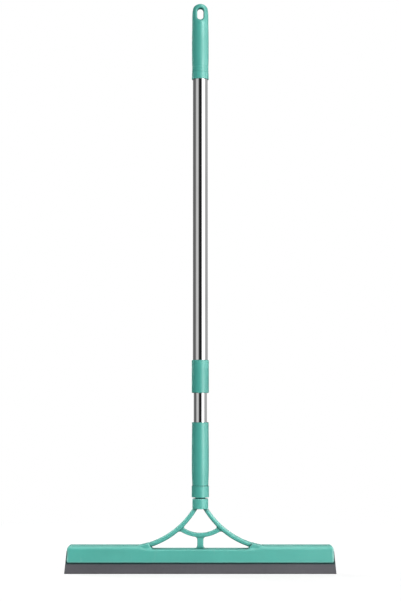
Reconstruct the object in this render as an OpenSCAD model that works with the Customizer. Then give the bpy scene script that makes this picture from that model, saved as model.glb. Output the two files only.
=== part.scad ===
// Floor squeegee: two rubber blades clamped in a two-shell head, with a screw-in telescopic handle.
// Millimetres. The origin is on the floor under the middle of the blades, Z runs up the handle,
// X along the blades and the front is toward -Y.

/* [Blades] */
// length of each blade along its bottom edge
blade_len = 450; // [380:5:560]
// height of the blade that shows below the covers
blade_show = 18.6; // [14:0.1:26]
// height of the blade that is clamped between the covers
blade_hold = 19.5; // [16:0.1:22]
// thickness of the clamped part of a blade
blade_t = 8; // [6.5:0.5:9]
// thickness of the lip where it meets the floor
lip_t = 4.5; // [3:0.25:6]
// play above the clamped part of a blade
blade_play = 0.5; // [0.3:0.1:1]
// slope of the blade ends, in degrees from upright
blade_end_slope = 5.8; // [3:0.1:8]

/* [Covers] */
// wall thickness of the covers
cover_wall = 2.5; // [2:0.1:3]
// length by which the blades stand out past each end of the covers, at the floor
cover_inset = 4.35; // [3:0.05:6]
// height by which the ends of the covers rise above their middle
cover_step = 6; // [5:0.1:7]
// distance of the ears' front faces behind the front of the covers
ear_set = 2; // [1:0.1:3]
// rounding of the long front and rear top edges
cover_edge_r = 6; // [4:0.5:7]
// rounding of the top corners, seen from the front
cover_top_r = 7.8; // [7:0.1:10]
// rounding of the bottom corners, seen from the front
cover_low_r = 3.3; // [2:0.1:4]

/* [Clamp screws] */
// distance of the outermost screws from the ends of the covers
screw_end = 15; // [12:0.5:20]
// spacing of the three screws of each half
screw_pitch = 77; // [55:0.5:80]
// height of the screws above the bottom edge of the covers
screw_up = 11.9; // [10:0.1:13]
// shank diameter
screw_d = 4; // [3.5:0.1:4.2]
// head diameter
screw_head_d = 8; // [7:0.1:8.4]
// diameter of the bosses that the screws go through
boss_d = 8.6; // [8.5:0.1:9.5]

/* [Wishbone] */
// thickness of the centre web between the blades
web_t = 7; // [6:0.5:9]
// depth of the legs, front to rear
leg_depth = 14; // [11:0.5:16]
// depth of the brace, front to rear
brace_depth = 9.5; // [8.5:0.5:11]
// depth of the post, front to rear
post_depth = 8; // [7:0.5:8.5]
// thickness of the legs, seen from the front
leg_t = 7.1; // [5:0.1:8]
// radius of the upper edge of the legs
leg_r = 133.1; // [120:0.1:145]
// height of the socket's underside above the top of the covers
socket_rise = 59.2; // [55:0.1:66]
// outer diameter of the socket
socket_d = 26.4; // [25:0.1:30]
// height of the socket
socket_h = 17; // [16:0.5:22]
// height of the brace's underside above the middle of the covers
brace_rise = 18.5; // [18:0.1:24]
// thickness of the brace in the middle
brace_t = 6.9; // [5:0.1:7.5]
// radius of the brace's upper edge
brace_r = 50.5; // [46:0.5:60]
// width of the post under the brace
post_w = 10.4; // [7:0.1:12]
// fillets at the ends of the post
post_fillet = 4.5; // [2:0.1:5]

/* [Handle thread] */
// core diameter of the male thread, which is also the neck
thread_core_d = 16.9; // [15:0.1:17.2]
// height of the thread's crest above its core
thread_depth = 1.6; // [1.2:0.1:1.8]
// pitch of the thread
thread_pitch = 5; // [4:0.5:6]
// height of the neck that shows between the socket and the ring
neck_show = 2.1; // [1.5:0.1:4]

/* [Lower handle] */
// outer diameter of the inner tube
inner_d = 22; // [21.6:0.1:22.2]
// distance of the inner tube's upper end below the upper end of the outer tube, as it stands
inner_drop = 140; // [110:1:180]
// wall thickness of both tubes
tube_wall = 0.6; // [0.5:0.05:0.7]
// height of the slip ring
ring_h = 18.9; // [15:0.1:23]
// outer diameter of the slip ring
ring_d = 28.7; // [28:0.1:31]
// length of the lower sleeve
sleeve_len = 105.2; // [90:0.1:120]
// largest diameter of the lower sleeve
sleeve_d = 28.6; // [27.6:0.1:31]
// diameter of the pins in the tube ends
pin_d = 4; // [3:0.1:5]
// length of the tip's spigot inside the inner tube
spigot_len = 40; // [34:1:50]
// wall thickness of the tip's spigot and of the lock plug
spigot_wall = 2.8; // [2.4:0.1:3.4]
// height of the tip's pins above the lower end of the sleeve
tip_pin_rise = 20; // [16:0.5:26]

/* [Twist lock] */
// length of the lock plug inside the inner tube
plug_len = 27; // [22:1:36]
// distance of the plug's pins below the upper end of the inner tube
plug_pin_drop = 12; // [9:0.5:14]
// length of the split expander
expander_len = 38; // [34:0.5:44]
// width of the slits in the expander
slit_w = 2; // [1.6:0.1:2.4]
// outer diameter of the spindle's thread
spindle_d = 8; // [7:0.1:8.4]
// pitch of the spindle's thread
spindle_pitch = 4; // [3:0.5:4]

/* [Upper handle] */
// outer diameter of the outer tube
outer_d = 25; // [24.8:0.1:25.4]
// length of the outer tube that shows between the collar and the grip
outer_show = 473.6; // [420:0.1:560]
// length of the outer tube inside the grip
grip_hold = 84.8; // [60:0.1:90]
// length of the inner tube that shows between the sleeve and the collar
tube_show = 48.6; // [30:0.1:80]
// length of the collar
collar_len = 55.2; // [48:0.1:64]
// outer diameter of the collar
collar_d = 28.6; // [28:0.1:31]
// length of the top grip
grip_len = 129.8; // [126:0.1:140]
// largest diameter of the top grip
grip_d = 28.3; // [27.8:0.1:30]
// width of the tab at the top of the grip
tab_w = 27.4; // [26.5:0.1:27.8]
// lean of the tab's front and rear faces, in degrees from upright
tab_lean = 14; // [11:0.5:15]
// height over which the faces lean, up to the top of the hang hole
tab_run = 32; // [30:0.5:34]
// width of the hang hole
hang_w = 10.4; // [9:0.1:13]
// height of the hang hole
hang_h = 20.4; // [17:0.1:22]

/* [Clearances] */
// between pieces that are assembled and stay put
fit_gap = 0.05; // [0.03:0.01:0.1]
// between pieces that turn or slide on each other
run_gap = 0.3; // [0.25:0.05:0.4]
// between the guide bush and the inner tube, and between the expander and the outer tube
guide_gap = 0.08; // [0.05:0.01:0.1]
// half of the seam between the covers
seam_gap = 0.1; // [0.05:0.05:0.2]

/* [Hidden] */
$fn = 96;
// heights along the head
blade_top = blade_show + blade_hold;
cover_mid = blade_top + blade_play + cover_wall;
cover_top = cover_mid + cover_step;
ceiling_mid = cover_mid - cover_wall;
screw_z = blade_show + screw_up;
// depths of the head
blade_in = web_t / 2;
blade_out = blade_in + blade_t;
head_y = blade_out + cover_wall;
cover_half = blade_len / 2 - cover_inset;
// wishbone
socket_z = cover_top + socket_rise;
leg_cz = cover_top + leg_r - 2.6;
leg_cx = socket_d / 2 - 0.15 + sqrt(pow(leg_r, 2) - pow(leg_cz - socket_z, 2));
foot_in = leg_cx - 36;
foot_out = leg_cx - 21.5;
ear_in = leg_cx - 45.5;
ear_lean = 0.62;
shoulder_in = leg_cx - 34;
shoulder_lean = 1.2;
leg_room = leg_depth / 2 + run_gap;
ear_face = head_y - ear_set;
brace_low = cover_mid + brace_rise;
brace_r_low = brace_r + 11;
// thread and ring
socket_top = socket_z + socket_h;
socket_floor = socket_z + 2;
tip_low = socket_floor + 0.8;
thread_core = thread_core_d / 2;
thread_crest = thread_core + thread_depth;
thread_turns = ceil(socket_h / thread_pitch) + 4;
ring_low = socket_top + neck_show;
ring_top = ring_low + ring_h;
ring_roof = 2;
flange_low = ring_low + run_gap;
flange_top = ring_top - ring_roof - run_gap;
flange_r = inner_d / 2 + 1.2;
// lower handle
inner_r = inner_d / 2;
inner_bore = inner_r - tube_wall;
inner_low = flange_top;
sleeve_low = ring_top + run_gap;
sleeve_top = sleeve_low + sleeve_len;
spigot_r = inner_bore - fit_gap;
tip_pin_z = sleeve_low + tip_pin_rise;
// upper handle
outer_r = outer_d / 2;
outer_bore = outer_r - tube_wall;
collar_low = sleeve_top + tube_show;
collar_top = collar_low + collar_len;
collar_floor = 1.6;
bush_flange = 1.6;
outer_low = collar_low + collar_floor + bush_flange;
grip_low = collar_top + outer_show;
grip_top = grip_low + grip_len;
outer_top = grip_low + grip_hold;
inner_top = outer_top - inner_drop;
bush_top = outer_low + 36;
dome_z = grip_top - tab_w / 2;
hang_z = grip_top - 8 - hang_h / 2;
tab_z = hang_z + hang_h / 2 - tab_run;
tab_r = grip_d / 2 + 0.9;
// twist lock
plug_pin_z = inner_top - plug_pin_drop;
lock_z = inner_top + 2.5;
expander_low = lock_z + run_gap;
expander_top = expander_low + expander_len;
expander_r = outer_bore - guide_gap;
wedge_low = expander_low + 6;
wedge_r = 6.2;
wedge_slope = 0.11;
cone_low = expander_low + 12;
cone_top = expander_top - 1;
cone_gap = 0.12;
spindle_r = spindle_d / 2;
spindle_core = spindle_r - 0.8;
spindle_top = expander_top + 14;
spindle_turns = ceil((cone_top - cone_low) / spindle_pitch) + 6;
clip_low = expander_top + 9;

mint = [0.36, 0.70, 0.65];
steel = [0.78, 0.79, 0.80];
rubber_grey = [0.36, 0.36, 0.38];
white_pom = [0.88, 0.88, 0.86];
zinc = [0.70, 0.71, 0.72];

// raises a front-view outline (x, z) into a slab between two depths
module slab(y0, y1) {
  translate([0, y1, 0]) rotate([90, 0, 0]) linear_extrude(height = y1 - y0) children();
}

// runs a side-view outline (y, z) along the bar
module run_x(x0, x1) {
  translate([x0, 0, 0]) rotate([90, 0, 90]) linear_extrude(height = x1 - x0) children();
}

// what a rounded corner leaves over; sx and sz point from the corner into the shape
module corner_2d(x, z, r, sx, sz) {
  translate([x, z]) difference() {
    translate([sx > 0 ? -1 : -r, sz > 0 ? -1 : -r]) square([r + 1, r + 1]);
    translate([sx * r, sz * r]) circle(r = r);
  }
}

// a cylinder along Y between two depths
module rod_y(x, z, r, y0, y1) {
  translate([x, y1, z]) rotate([90, 0, 0]) cylinder(r = r, h = y1 - y0);
}

// a ring about the handle's axis
module tube_z(r_out, r_in, z0, z1) {
  translate([0, 0, z0]) difference() {
    cylinder(r = r_out, h = z1 - z0);
    translate([0, 0, -1]) cylinder(r = r_in, h = z1 - z0 + 2);
  }
}

// solid helical thread about the handle's axis: n columns a turn, four profile points a pitch
module helix(core, crest, pitch, turns, n) {
  offs = [0, 0.18, 0.46, 0.64];
  rads = [core, crest, crest, core];
  rows = 4 * turns;
  side = rows + 1;
  pts = [for (j = [0:n - 1]) for (k = [0:rows])
    let (r = rads[k % 4], z = pitch * (floor(k / 4) + offs[k % 4] + j / n), a = 360 * j / n)
    [r * cos(a), r * sin(a), z]];
  low = len(pts);
  high = low + 1;
  walls = [for (j = [0:n - 2]) for (k = [0:rows - 1]) for (t = [0, 1])
    t == 0 ? [j * side + k, (j + 1) * side + k + 1, (j + 1) * side + k]
           : [j * side + k, j * side + k + 1, (j + 1) * side + k + 1]];
  wrap = [for (k = [0:rows - 5]) for (t = [0, 1])
    t == 0 ? [(n - 1) * side + k, k + 5, k + 4]
           : [(n - 1) * side + k, (n - 1) * side + k + 1, k + 5]];
  low_loop = concat([for (j = [0:n - 1]) j * side], [for (k = [4:-1:1]) k]);
  high_loop = concat([for (j = [0:n - 1]) j * side + rows], [for (k = [1:4]) (n - 1) * side + rows - k]);
  low_fan = [for (i = [0:len(low_loop) - 1]) [low_loop[i], low_loop[(i + 1) % len(low_loop)], low]];
  high_fan = [for (i = [0:len(high_loop) - 1]) [high_loop[(i + 1) % len(high_loop)], high_loop[i], high]];
  polyhedron(
    points = concat(pts, [[0, 0, pitch * 0.4], [0, 0, pitch * (turns + 0.6)]]),
    faces = concat(walls, wrap, low_fan, high_fan), convexity = 10);
}

// front view of the covers, ends and middle; inset is how far it lies inside the outer face
module cover_face_2d(inset) {
  top = cover_top - inset;
  mid = cover_mid - inset;
  half = cover_half - inset;
  r = cover_top_r - inset;
  low_x = shoulder_in + inset * (sqrt(1 + pow(shoulder_lean, 2)) - shoulder_lean);
  high_x = low_x + shoulder_lean * (cover_step + 1);
  difference() {
    translate([-half, blade_show]) square([2 * half, top - blade_show]);
    corner_2d(half, top, r, -1, -1);
    corner_2d(-half, top, r, 1, -1);
    polygon([[-low_x, mid], [-high_x, top + 1], [high_x, top + 1], [low_x, mid]]);
    if (inset == 0) corner_2d(half, blade_show, cover_low_r, -1, 1);
    if (inset == 0) corner_2d(-half, blade_show, cover_low_r, 1, 1);
  }
}

// side view of a front cover's outer face
module cover_side_2d() {
  difference() {
    translate([-head_y, blade_show - 1]) square([head_y - seam_gap, cover_top - blade_show + 1]);
    corner_2d(-head_y, cover_top, cover_edge_r, 1, -1);
  }
}

// ear over one foot of the wishbone: its top edge is the upper edge of the leg
module ear_2d() {
  difference() {
    polygon([
      [ear_in, cover_mid],
      [ear_in + ear_lean * 16, cover_mid + 16],
      [leg_cx - 15, cover_mid + 16],
      [leg_cx - 15, cover_mid]]);
    translate([leg_cx, leg_cz]) circle(r = leg_r, $fn = 240);
  }
}

module both_sides() {
  children();
  mirror([1, 0, 0]) children();
}

// one shell of the head, front half, open at the bottom, at the seam and where the wishbone enters
module cover_shell() {
  difference() {
    union() {
      intersection() {
        slab(-head_y - 1, 0) cover_face_2d(0);
        run_x(-blade_len, blade_len) cover_side_2d();
      }
      both_sides() slab(-ear_face, -leg_room) ear_2d();
    }
    slab(-blade_out, 1) cover_face_2d(cover_wall);
    slab(-blade_out, 1) translate([-blade_len, 0]) square([2 * blade_len, ceiling_mid]);
    both_sides() translate([ear_in - 3, -leg_room, cover_mid])
      cube([foot_out + run_gap - ear_in + 3, leg_room + 1, 30]);
    both_sides() translate([foot_in - run_gap, -leg_room, blade_show])
      cube([foot_out - foot_in + 2 * run_gap, leg_room + 1, 40]);
    translate([-post_w / 2 - run_gap, -blade_in - run_gap, blade_show])
      cube([post_w + 2 * run_gap, blade_in + run_gap + 1, 40]);
  }
}

// runs its children at each screw
module at_screws() {
  for (k = [0:2]) for (m = [-1, 1])
    translate([m * (cover_half - screw_end - screw_pitch * k), 0, screw_z]) children();
}

module front_cover() {
  color(mint) difference() {
    union() {
      cover_shell();
      at_screws() rod_y(0, 0, boss_d / 2, -blade_out - 0.5, -blade_in);
    }
    at_screws() rod_y(0, 0, screw_d / 2 + fit_gap, -blade_out + 1, 0);
  }
}

module rear_cover() {
  color(mint) difference() {
    union() {
      mirror([0, 1, 0]) cover_shell();
      at_screws() rod_y(0, 0, boss_d / 2, blade_in, blade_out + 0.5);
    }
    at_screws() rod_y(0, 0, screw_d / 2 + run_gap, 0, head_y + 1);
    at_screws() translate([0, head_y - 2.4, 0]) rotate([-90, 0, 0])
      cylinder(r1 = screw_d / 2 + run_gap, r2 = screw_head_d / 2 + run_gap, h = 2.41);
  }
}

// the front strip: upright outside, tapered inside to the lip
module blade_solid() {
  slope = tan(blade_end_slope);
  difference() {
    intersection() {
      run_x(-blade_len, blade_len) polygon([
        [-blade_out, 0],
        [-blade_out + lip_t, 0],
        [-blade_in, blade_show - 1],
        [-blade_in, blade_top],
        [-blade_out, blade_top]]);
      slab(-head_y, 0) polygon([
        [-blade_len / 2, 0],
        [blade_len / 2, 0],
        [blade_len / 2 - slope * blade_top, blade_top],
        [slope * blade_top - blade_len / 2, blade_top]]);
    }
    at_screws() rod_y(0, 0, boss_d / 2 + run_gap, -head_y, 0);
  }
}

module front_blade() {
  color(rubber_grey) blade_solid();
}

module rear_blade() {
  color(rubber_grey) mirror([0, 1, 0]) blade_solid();
}

module clamp_screws() {
  color(zinc) at_screws() difference() {
    union() {
      rod_y(0, 0, screw_d / 2, -blade_out + 1.5, head_y - 1);
      translate([0, head_y - 2.4, 0]) rotate([-90, 0, 0])
        cylinder(r1 = screw_d / 2, r2 = screw_head_d / 2, h = 2.3);
    }
    translate([-2.2, head_y - 1.6, -0.5]) cube([4.4, 3, 1]);
    translate([-0.5, head_y - 1.6, -2.2]) cube([1, 3, 4.4]);
  }
}

// front view of one leg: a band between two arcs about the same centre
module leg_2d() {
  intersection() {
    translate([leg_cx, leg_cz]) difference() {
      circle(r = leg_r + leg_t, $fn = 240);
      circle(r = leg_r, $fn = 240);
    }
    polygon([[2, socket_z + 0.3], [2, cover_mid], [foot_out, cover_mid - 4], [foot_out, socket_z + 0.3]]);
  }
}

// front view of the brace: between two arcs, up to the middle of the legs
module brace_2d() {
  difference() {
    translate([-60, brace_low - 1]) square([120, 40]);
    translate([0, brace_low + brace_t + brace_r]) circle(r = brace_r, $fn = 240);
    difference() {
      translate([-80, brace_low - 2]) square([160, 60]);
      translate([0, brace_low + brace_r_low]) circle(r = brace_r_low, $fn = 240);
    }
    translate([leg_cx, leg_cz]) circle(r = leg_r + leg_t / 2, $fn = 240);
    translate([-leg_cx, leg_cz]) circle(r = leg_r + leg_t / 2, $fn = 240);
  }
}

// front view of the post with its four fillets
module post_2d() {
  half = post_w / 2;
  translate([-half, cover_mid]) square([post_w, brace_rise + brace_t / 2]);
  for (m = [-1, 1]) translate([m * half, 0]) {
    difference() {
      translate([m > 0 ? -0.5 : -post_fillet, cover_mid]) square([post_fillet + 0.5, post_fillet]);
      translate([m * post_fillet, cover_mid + post_fillet]) circle(r = post_fillet);
    }
    difference() {
      translate([m > 0 ? -0.5 : -post_fillet, brace_low + 0.4 - post_fillet])
        square([post_fillet + 0.5, post_fillet + 1]);
      translate([m * post_fillet, brace_low + 0.4 - post_fillet]) circle(r = post_fillet);
    }
  }
}

module handle_frame() {
  color(mint) difference() {
    union() {
      both_sides() slab(-leg_depth / 2, leg_depth / 2) leg_2d();
      slab(-brace_depth / 2, brace_depth / 2) brace_2d();
      slab(-post_depth / 2, post_depth / 2) post_2d();
      slab(-blade_in, blade_in) translate([6 - cover_half, blade_show + 2])
        square([2 * cover_half - 12, blade_hold - 2]);
      translate([-post_w / 2, -blade_in, blade_top - 1]) cube([post_w, web_t, cover_mid - blade_top + 4]);
      both_sides() translate([foot_in + 1, -blade_in, blade_top - 1])
        cube([foot_out - foot_in - 1, web_t, cover_step + 1]);
      translate([0, 0, socket_z]) cylinder(r = socket_d / 2, h = socket_h);
    }
    at_screws() rod_y(0, 0, screw_d / 2 + run_gap, -blade_out, blade_out);
    intersection() {
      translate([0, 0, tip_low - 2 * thread_pitch])
        helix(thread_core + run_gap, thread_crest + run_gap, thread_pitch, thread_turns, 36);
      translate([0, 0, socket_floor]) cylinder(r = socket_d, h = socket_h);
    }
  }
}

// cross hole for two pins
module pin_hole(z) {
  translate([-inner_d, 0, z]) rotate([0, 90, 0]) cylinder(r = pin_d / 2 + fit_gap, h = 2 * inner_d);
}

// two pins, flush with the outside of the inner tube
module pin_pair(z) {
  both_sides() translate([spigot_r - spigot_wall - 1, 0, z]) rotate([0, 90, 0])
    cylinder(r = pin_d / 2, h = tube_wall + spigot_wall + 0.75);
}

module thread_tip() {
  color(mint) difference() {
    union() {
      intersection() {
        translate([0, 0, tip_low - 2 * thread_pitch])
          helix(thread_core, thread_crest, thread_pitch, thread_turns, 36);
        union() {
          translate([0, 0, tip_low]) cylinder(r1 = thread_core - 0.6, r2 = thread_crest + 0.4, h = 3);
          translate([0, 0, tip_low + 2.9]) cylinder(r = thread_crest + 1, h = socket_top - tip_low - 3.4);
        }
      }
      translate([0, 0, socket_top - 1]) cylinder(r = thread_core + 0.02, h = flange_low - socket_top + 2);
      translate([0, 0, flange_low]) cylinder(r = flange_r, h = flange_top - flange_low);
      translate([0, 0, flange_top - 1]) cylinder(r = spigot_r, h = spigot_len + 1);
    }
    translate([0, 0, flange_low + 4]) cylinder(r = spigot_r - spigot_wall, h = ring_h + spigot_len);
    pin_hole(tip_pin_z);
  }
}

module tip_pins() {
  color(steel) pin_pair(tip_pin_z);
}

module neck_ring() {
  color(mint) difference() {
    translate([0, 0, ring_low]) rotate_extrude() difference() {
      square([ring_d / 2, ring_h]);
      corner_2d(ring_d / 2, 0, 1, -1, 1);
      corner_2d(ring_d / 2, ring_h, 0.6, -1, -1);
    }
    translate([0, 0, ring_low - 1]) cylinder(r = flange_r + run_gap, h = ring_h - ring_roof + 1);
    translate([0, 0, ring_low - 1]) cylinder(r = inner_r + run_gap, h = ring_h + 2);
  }
}

module lower_sleeve() {
  big = sleeve_d / 2;
  color(mint) translate([0, 0, sleeve_low]) difference() {
    rotate_extrude() polygon([
      [0, 0],
      [big - 0.9, 0],
      [big - 0.8, sleeve_len * 0.05],
      [big - 0.6, sleeve_len * 0.09],
      [big - 0.3, sleeve_len * 0.15],
      [big - 0.1, sleeve_len * 0.22],
      [big, sleeve_len * 0.31],
      [big, sleeve_len * 0.58],
      [big - 0.12, sleeve_len * 0.7],
      [big - 0.4, sleeve_len * 0.87],
      [big - 0.4, sleeve_len - 1.2],
      [big - 0.8, sleeve_len - 0.3],
      [big - 1.6, sleeve_len],
      [0, sleeve_len]]);
    translate([0, 0, -1]) cylinder(r = inner_r + fit_gap, h = sleeve_len + 2);
  }
}

module inner_tube() {
  color(steel) difference() {
    tube_z(inner_r, inner_bore, inner_low, inner_top);
    pin_hole(tip_pin_z);
    pin_hole(plug_pin_z);
  }
}

module lock_plug() {
  color(white_pom) difference() {
    union() {
      translate([0, 0, inner_top - plug_len]) cylinder(r = spigot_r, h = plug_len + 1);
      translate([0, 0, inner_top]) cylinder(r = inner_r, h = lock_z - inner_top);
      translate([0, 0, lock_z - 0.5]) cylinder(r = spindle_core - 0.15, h = spindle_top - lock_z + 0.5);
      intersection() {
        translate([0, 0, cone_low - 3 * spindle_pitch])
          helix(spindle_core, spindle_r, spindle_pitch, spindle_turns, 18);
        translate([0, 0, cone_low - 3]) cylinder(r = spindle_r + 1, h = cone_top - cone_low + 8);
      }
    }
    translate([0, 0, inner_top - plug_len - 1]) cylinder(r = spigot_r - spigot_wall, h = plug_len - 3);
    pin_hole(plug_pin_z);
  }
}

module lock_plug_pins() {
  color(steel) pin_pair(plug_pin_z);
}

module spindle_clip() {
  color(steel) tube_z(7, spindle_core - 0.15 + fit_gap, clip_low, clip_low + 3);
}

module expander() {
  color(white_pom) difference() {
    translate([0, 0, expander_low]) cylinder(r = expander_r, h = expander_len);
    translate([0, 0, expander_low - 1]) cylinder(r = spindle_r + run_gap, h = expander_len + 2);
    translate([0, 0, wedge_low]) cylinder(
      r1 = wedge_r,
      r2 = wedge_r + wedge_slope * (expander_top - wedge_low + 1),
      h = expander_top - wedge_low + 1);
    for (a = [0, 90]) rotate([0, 0, a]) translate([-slit_w / 2, -20, wedge_low + 3]) cube([slit_w, 40, 60]);
    for (k = [0:2]) tube_z(20, expander_r - 0.5, expander_low + 12 + 8 * k, expander_low + 14 + 8 * k);
  }
}

module cone_nut() {
  r_low = wedge_r + wedge_slope * (cone_low - wedge_low) - cone_gap;
  r_high = wedge_r + wedge_slope * (cone_top - wedge_low) - cone_gap;
  color(white_pom) difference() {
    union() {
      translate([0, 0, cone_low]) cylinder(r1 = r_low, r2 = r_high, h = cone_top - cone_low);
      translate([run_gap - slit_w / 2, -expander_r + 1, cone_low + 3])
        cube([slit_w - 2 * run_gap, 2 * expander_r - 2, cone_top - cone_low - 4]);
    }
    intersection() {
      translate([0, 0, cone_low - 3 * spindle_pitch])
        helix(spindle_core + run_gap, spindle_r + run_gap, spindle_pitch, spindle_turns, 18);
      translate([0, 0, cone_low - 1]) cylinder(r = 20, h = cone_top - cone_low + 2);
    }
  }
}

module outer_tube() {
  color(steel) tube_z(outer_r, outer_bore, outer_low, outer_top);
}

module guide_bush() {
  color(white_pom) difference() {
    union() {
      translate([0, 0, outer_low - bush_flange]) cylinder(r = outer_r, h = bush_flange);
      translate([0, 0, outer_low - 0.5]) cylinder(r = outer_bore - fit_gap, h = bush_top - outer_low + 0.5);
    }
    translate([0, 0, collar_low]) cylinder(r = inner_r + guide_gap, h = bush_top - collar_low + 1);
  }
}

module collar() {
  color(mint) translate([0, 0, collar_low]) difference() {
    rotate_extrude() difference() {
      square([collar_d / 2, collar_len]);
      corner_2d(collar_d / 2, 0, 1.6, -1, 1);
      corner_2d(collar_d / 2, collar_len, 1.6, -1, -1);
    }
    translate([0, 0, -1]) cylinder(r = inner_r + run_gap, h = collar_len);
    translate([0, 0, collar_floor]) cylinder(r = outer_r + fit_gap, h = collar_len);
  }
}

// half outline of the grip, about the handle's axis
module grip_2d() {
  big = grip_d / 2;
  polygon([
    [0, 0],
    [big - 0.2, 0],
    [big + 0.05, 1.2],
    [big + 0.05, 3.5],
    [big - 0.15, 9],
    [big - 0.4, 15],
    [big - 0.4, 22],
    [big - 0.15, 32],
    [big, 42],
    [big, 70],
    [big - 0.15, 80],
    [tab_w / 2, 94],
    [tab_w / 2, dome_z - grip_low],
    [0, dome_z - grip_low]]);
  intersection() {
    translate([0, dome_z - grip_low]) circle(r = tab_w / 2);
    translate([0, dome_z - grip_low - 1]) square([tab_w, tab_w]);
  }
}

// room inside the tab's front or rear face: a cylinder that leans back from the tab's foot up
module tab_side(m) {
  translate([0, 0, grip_low - 1]) cylinder(r = grip_d, h = tab_z - grip_low + 1);
  translate([0, 0, tab_z]) rotate([m * tab_lean, 0, 0]) translate([0, 0, -10])
    cylinder(r = tab_r, h = grip_len);
}

module top_grip() {
  color(mint) difference() {
    intersection() {
      translate([0, 0, grip_low]) rotate_extrude() grip_2d();
      tab_side(1);
      tab_side(-1);
    }
    translate([0, 0, grip_low - 1]) cylinder(r = outer_r + fit_gap, h = outer_top - grip_low + 1 + fit_gap);
    rod_y(0, hang_z + hang_h / 2 - hang_w / 2, hang_w / 2, -30, 30);
    rod_y(0, hang_z - hang_h / 2 + hang_w / 2, hang_w / 2, -30, 30);
    translate([-hang_w / 2, -30, hang_z - hang_h / 2 + hang_w / 2]) cube([hang_w, 60, hang_h - hang_w]);
    for (k = [0:2]) translate([0, 0, grip_low + 12 + 5 * k]) rotate_extrude()
      translate([grip_d / 2 + 0.35, 0]) circle(r = 0.9);
  }
}

handle_frame();
front_cover();
rear_cover();
front_blade();
rear_blade();
clamp_screws();
neck_ring();
thread_tip();
tip_pins();
lower_sleeve();
inner_tube();
lock_plug();
lock_plug_pins();
spindle_clip();
expander();
cone_nut();
outer_tube();
guide_bush();
collar();
top_grip();
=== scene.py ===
import math
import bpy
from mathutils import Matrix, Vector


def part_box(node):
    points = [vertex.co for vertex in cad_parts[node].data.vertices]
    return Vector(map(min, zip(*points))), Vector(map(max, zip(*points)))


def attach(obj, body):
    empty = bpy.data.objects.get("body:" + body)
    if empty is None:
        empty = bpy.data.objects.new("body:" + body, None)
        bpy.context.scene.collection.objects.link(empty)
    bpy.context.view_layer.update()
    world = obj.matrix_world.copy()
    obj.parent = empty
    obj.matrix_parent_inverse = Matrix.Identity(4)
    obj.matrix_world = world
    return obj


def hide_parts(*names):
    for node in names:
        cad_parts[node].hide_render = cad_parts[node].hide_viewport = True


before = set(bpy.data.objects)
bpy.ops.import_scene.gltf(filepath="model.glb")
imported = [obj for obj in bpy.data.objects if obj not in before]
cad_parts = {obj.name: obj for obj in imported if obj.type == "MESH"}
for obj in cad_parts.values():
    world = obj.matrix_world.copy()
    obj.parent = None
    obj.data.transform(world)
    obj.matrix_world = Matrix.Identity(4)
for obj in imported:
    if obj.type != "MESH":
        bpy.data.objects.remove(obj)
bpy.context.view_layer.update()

from types import SimpleNamespace

import bmesh
import bpy
import numpy as np
from bpy.props import FloatProperty, FloatVectorProperty, PointerProperty
from mathutils import Vector

bl_info = {
    "name": "Floor Squeegee",
    "version": (1, 0, 0),
    "blender": (4, 5, 0),
    "location": "View3D > Sidebar > Squeegee",
    "description": "Builds the visible pieces of a floor squeegee around its packed model",
    "category": "Add Mesh",
}

BOX = {name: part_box(name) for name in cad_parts}
MM = 1000  # millimetres in a metre


def size(name, text, metres):
    """A size that shows in the sidebar."""
    return FloatProperty(name=name, description=text, default=metres, unit="LENGTH", precision=5)


def number(name, text, value):
    """A plain number that shows in the sidebar."""
    return FloatProperty(name=name, description=text, default=value, precision=3)


def angle(name, text, degrees):
    """An angle that shows in the sidebar."""
    return FloatProperty(name=name, description=text, default=math.radians(degrees), unit="ROTATION")


def colour(name, text, rgb):
    """A colour that shows in the sidebar, in linear values."""
    return FloatVectorProperty(
        name=name, description=text, default=rgb, subtype="COLOR", size=3, min=0, max=1)


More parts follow.
